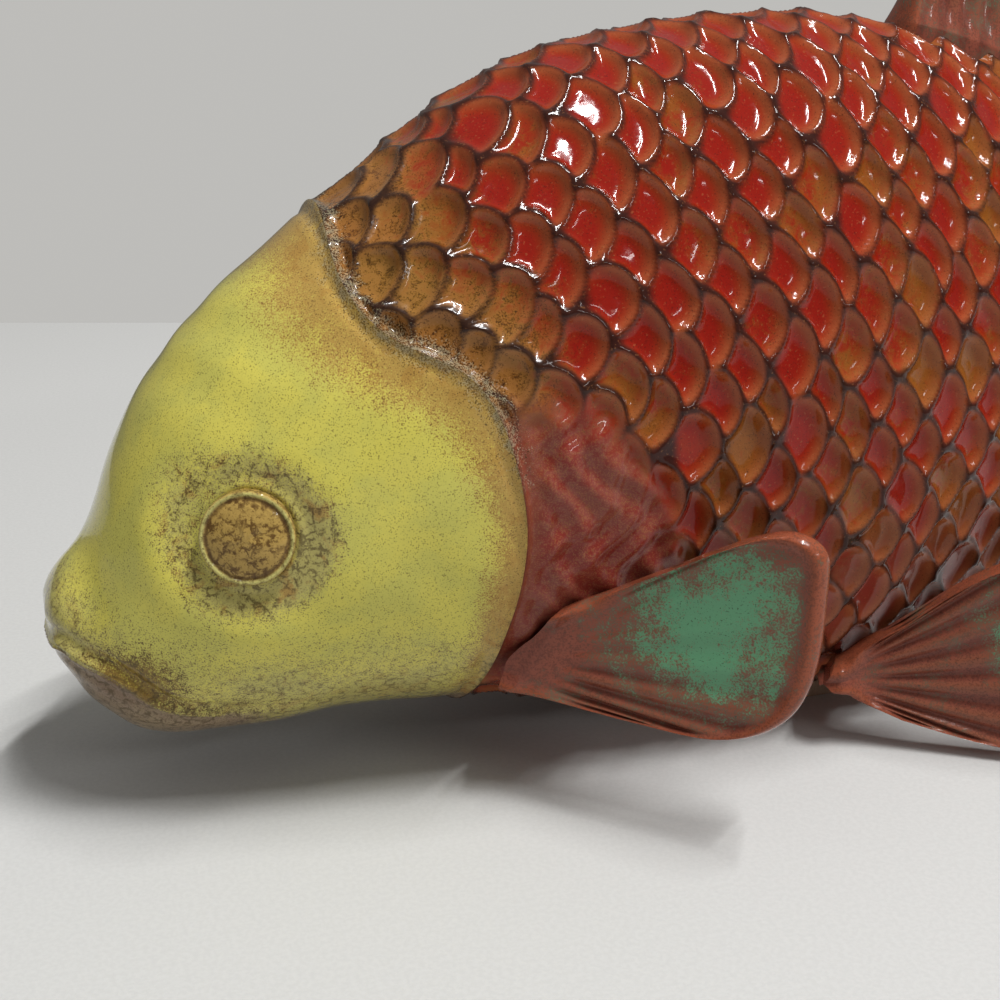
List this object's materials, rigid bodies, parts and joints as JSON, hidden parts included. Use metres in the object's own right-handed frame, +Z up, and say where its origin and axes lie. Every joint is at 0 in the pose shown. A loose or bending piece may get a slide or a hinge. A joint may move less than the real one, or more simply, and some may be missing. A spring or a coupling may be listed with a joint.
{
  "type": "fish figurine",
  "caption": "Hollow glazed ceramic fish figurine with overlapping scales, thick paddle fins and a flat foot under its belly.",
  "frame": {"origin": "centre of the foot slab, on the surface that the figurine stands on", "axes": "+X from the snout to the tail, +Z up, the fish's left side at -Y"},
  "size_m": [0.3004, 0.1168, 0.1394],
  "materials": {
    "head_glaze": "glossy speckled yellow-green glaze",
    "eye_glaze": "glossy crackled ochre glaze",
    "scale_glaze": "glossy mottled red-brown glaze",
    "paired_fin_glaze": "glossy red-brown glaze with green pools",
    "middle_fin_glaze": "glossy red-brown glaze",
    "bare_clay": "matt unglazed clay"
  },
  "bodies": {
    "root": {"head": "head_glaze", "eye_left": "eye_glaze", "eye_right": "eye_glaze", "trunk_left": "scale_glaze", "trunk_right": "scale_glaze", "pectoral_fin_left": "paired_fin_glaze", "pectoral_fin_right": "paired_fin_glaze", "pelvic_fin_left": "paired_fin_glaze", "pelvic_fin_right": "paired_fin_glaze", "dorsal_fin": "middle_fin_glaze", "anal_fin": "middle_fin_glaze", "tail_fin": "middle_fin_glaze", "foot_slab": "bare_clay"}
  },
  "joints": []
}
